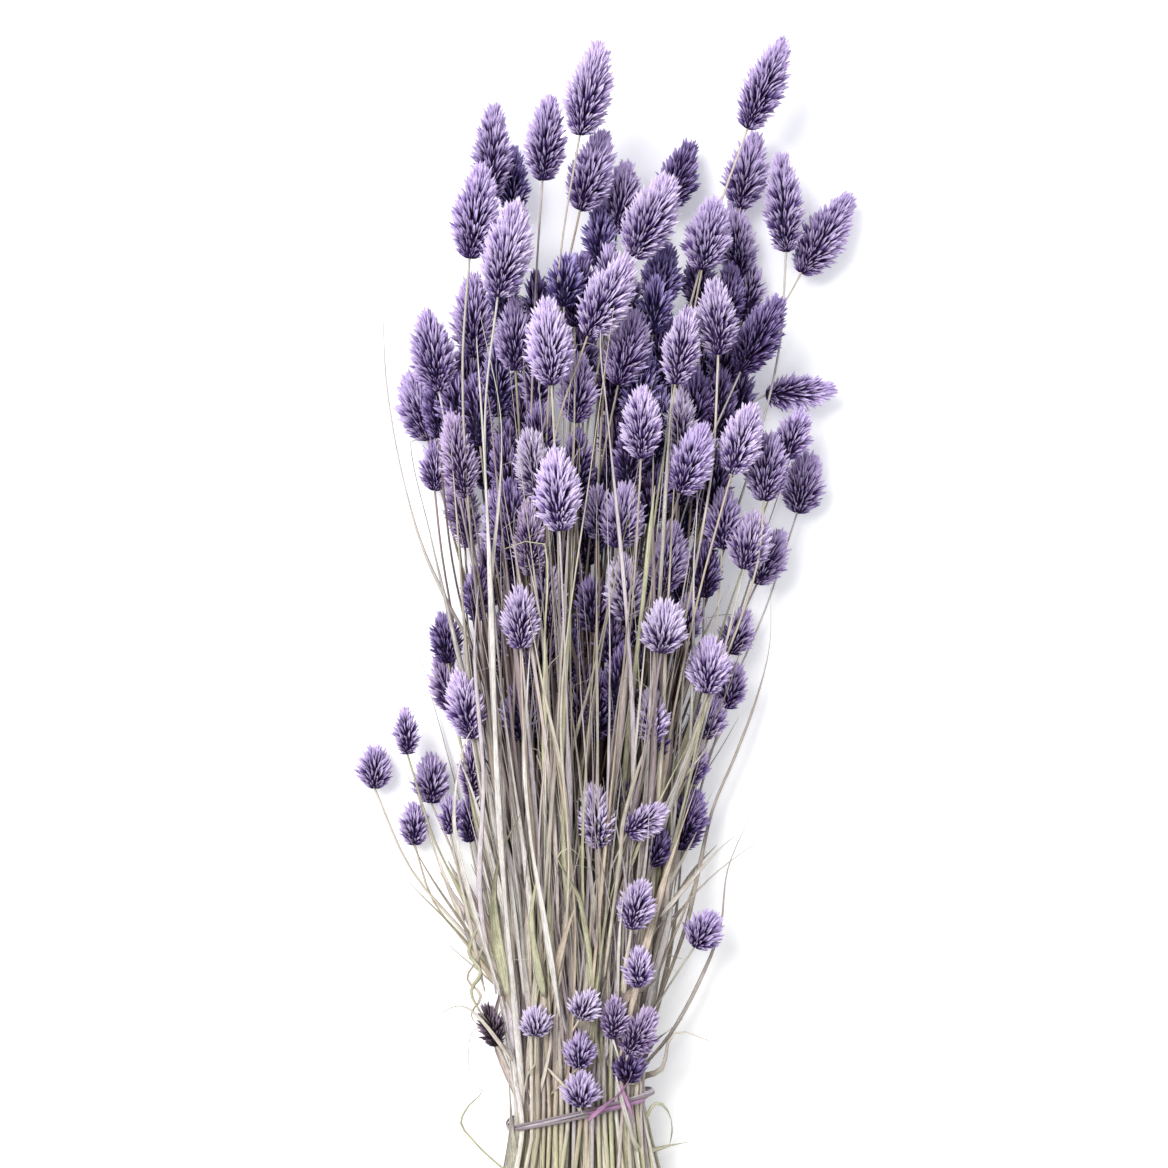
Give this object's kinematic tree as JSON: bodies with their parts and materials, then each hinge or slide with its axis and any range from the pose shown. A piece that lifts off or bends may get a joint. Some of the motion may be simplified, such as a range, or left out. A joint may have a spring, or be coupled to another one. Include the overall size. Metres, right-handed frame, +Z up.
{
  "type": "bundle of dried canary grass",
  "caption": "Tied bunch of dried canary grass with egg-shaped seed heads dyed purple and pale stems, lying on its side.",
  "frame": {"origin": "on the surface the bunch lies on, under the middle of the whole bunch", "axes": "+Y along the bunch from the cut ends to the seed heads, +X to its right, +Z up from the surface"},
  "size_m": [0.2504, 0.6172, 0.0977],
  "materials": {
    "dyed_culm": "dry matte seed head dyed purple on a pale stem",
    "dry_leaf": "dry matte blade, pale grey-beige",
    "tie_strand": "mauve strand"
  },
  "bodies": {
    "root": {"culm_01": "dyed_culm", "culm_02": "dyed_culm", "culm_03": "dyed_culm", "culm_04": "dyed_culm", "culm_05": "dyed_culm", "culm_06": "dyed_culm", "culm_07": "dyed_culm", "culm_08": "dyed_culm", "culm_09": "dyed_culm", "culm_10": "dyed_culm", "culm_11": "dyed_culm", "culm_12": "dyed_culm", "culm_13": "dyed_culm", "culm_14": "dyed_culm", "culm_15": "dyed_culm", "culm_16": "dyed_culm", "culm_17": "dyed_culm", "culm_18": "dyed_culm", "culm_19": "dyed_culm", "culm_20": "dyed_culm", "culm_21": "dyed_culm", "culm_22": "dyed_culm", "culm_23": "dyed_culm", "culm_24": "dyed_culm", "culm_25": "dyed_culm", "culm_26": "dyed_culm", "culm_27": "dyed_culm", "culm_28": "dyed_culm", "culm_29": "dyed_culm", "culm_30": "dyed_culm", "culm_31": "dyed_culm", "culm_32": "dyed_culm", "culm_33": "dyed_culm", "culm_34": "dyed_culm", "culm_35": "dyed_culm", "culm_36": "dyed_culm", "culm_37": "dyed_culm", "culm_38": "dyed_culm", "culm_39": "dyed_culm", "culm_40": "dyed_culm", "culm_41": "dyed_culm", "culm_42": "dyed_culm", "culm_43": "dyed_culm", "culm_44": "dyed_culm", "culm_45": "dyed_culm", "culm_46": "dyed_culm", "culm_47": "dyed_culm", "culm_48": "dyed_culm", "leaf_01": "dry_leaf", "leaf_02": "dry_leaf", "leaf_03": "dry_leaf", "leaf_04": "dry_leaf", "leaf_05": "dry_leaf", "leaf_06": "dry_leaf", "leaf_07": "dry_leaf", "leaf_08": "dry_leaf", "tie": "tie_strand"}
  },
  "joints": []
}
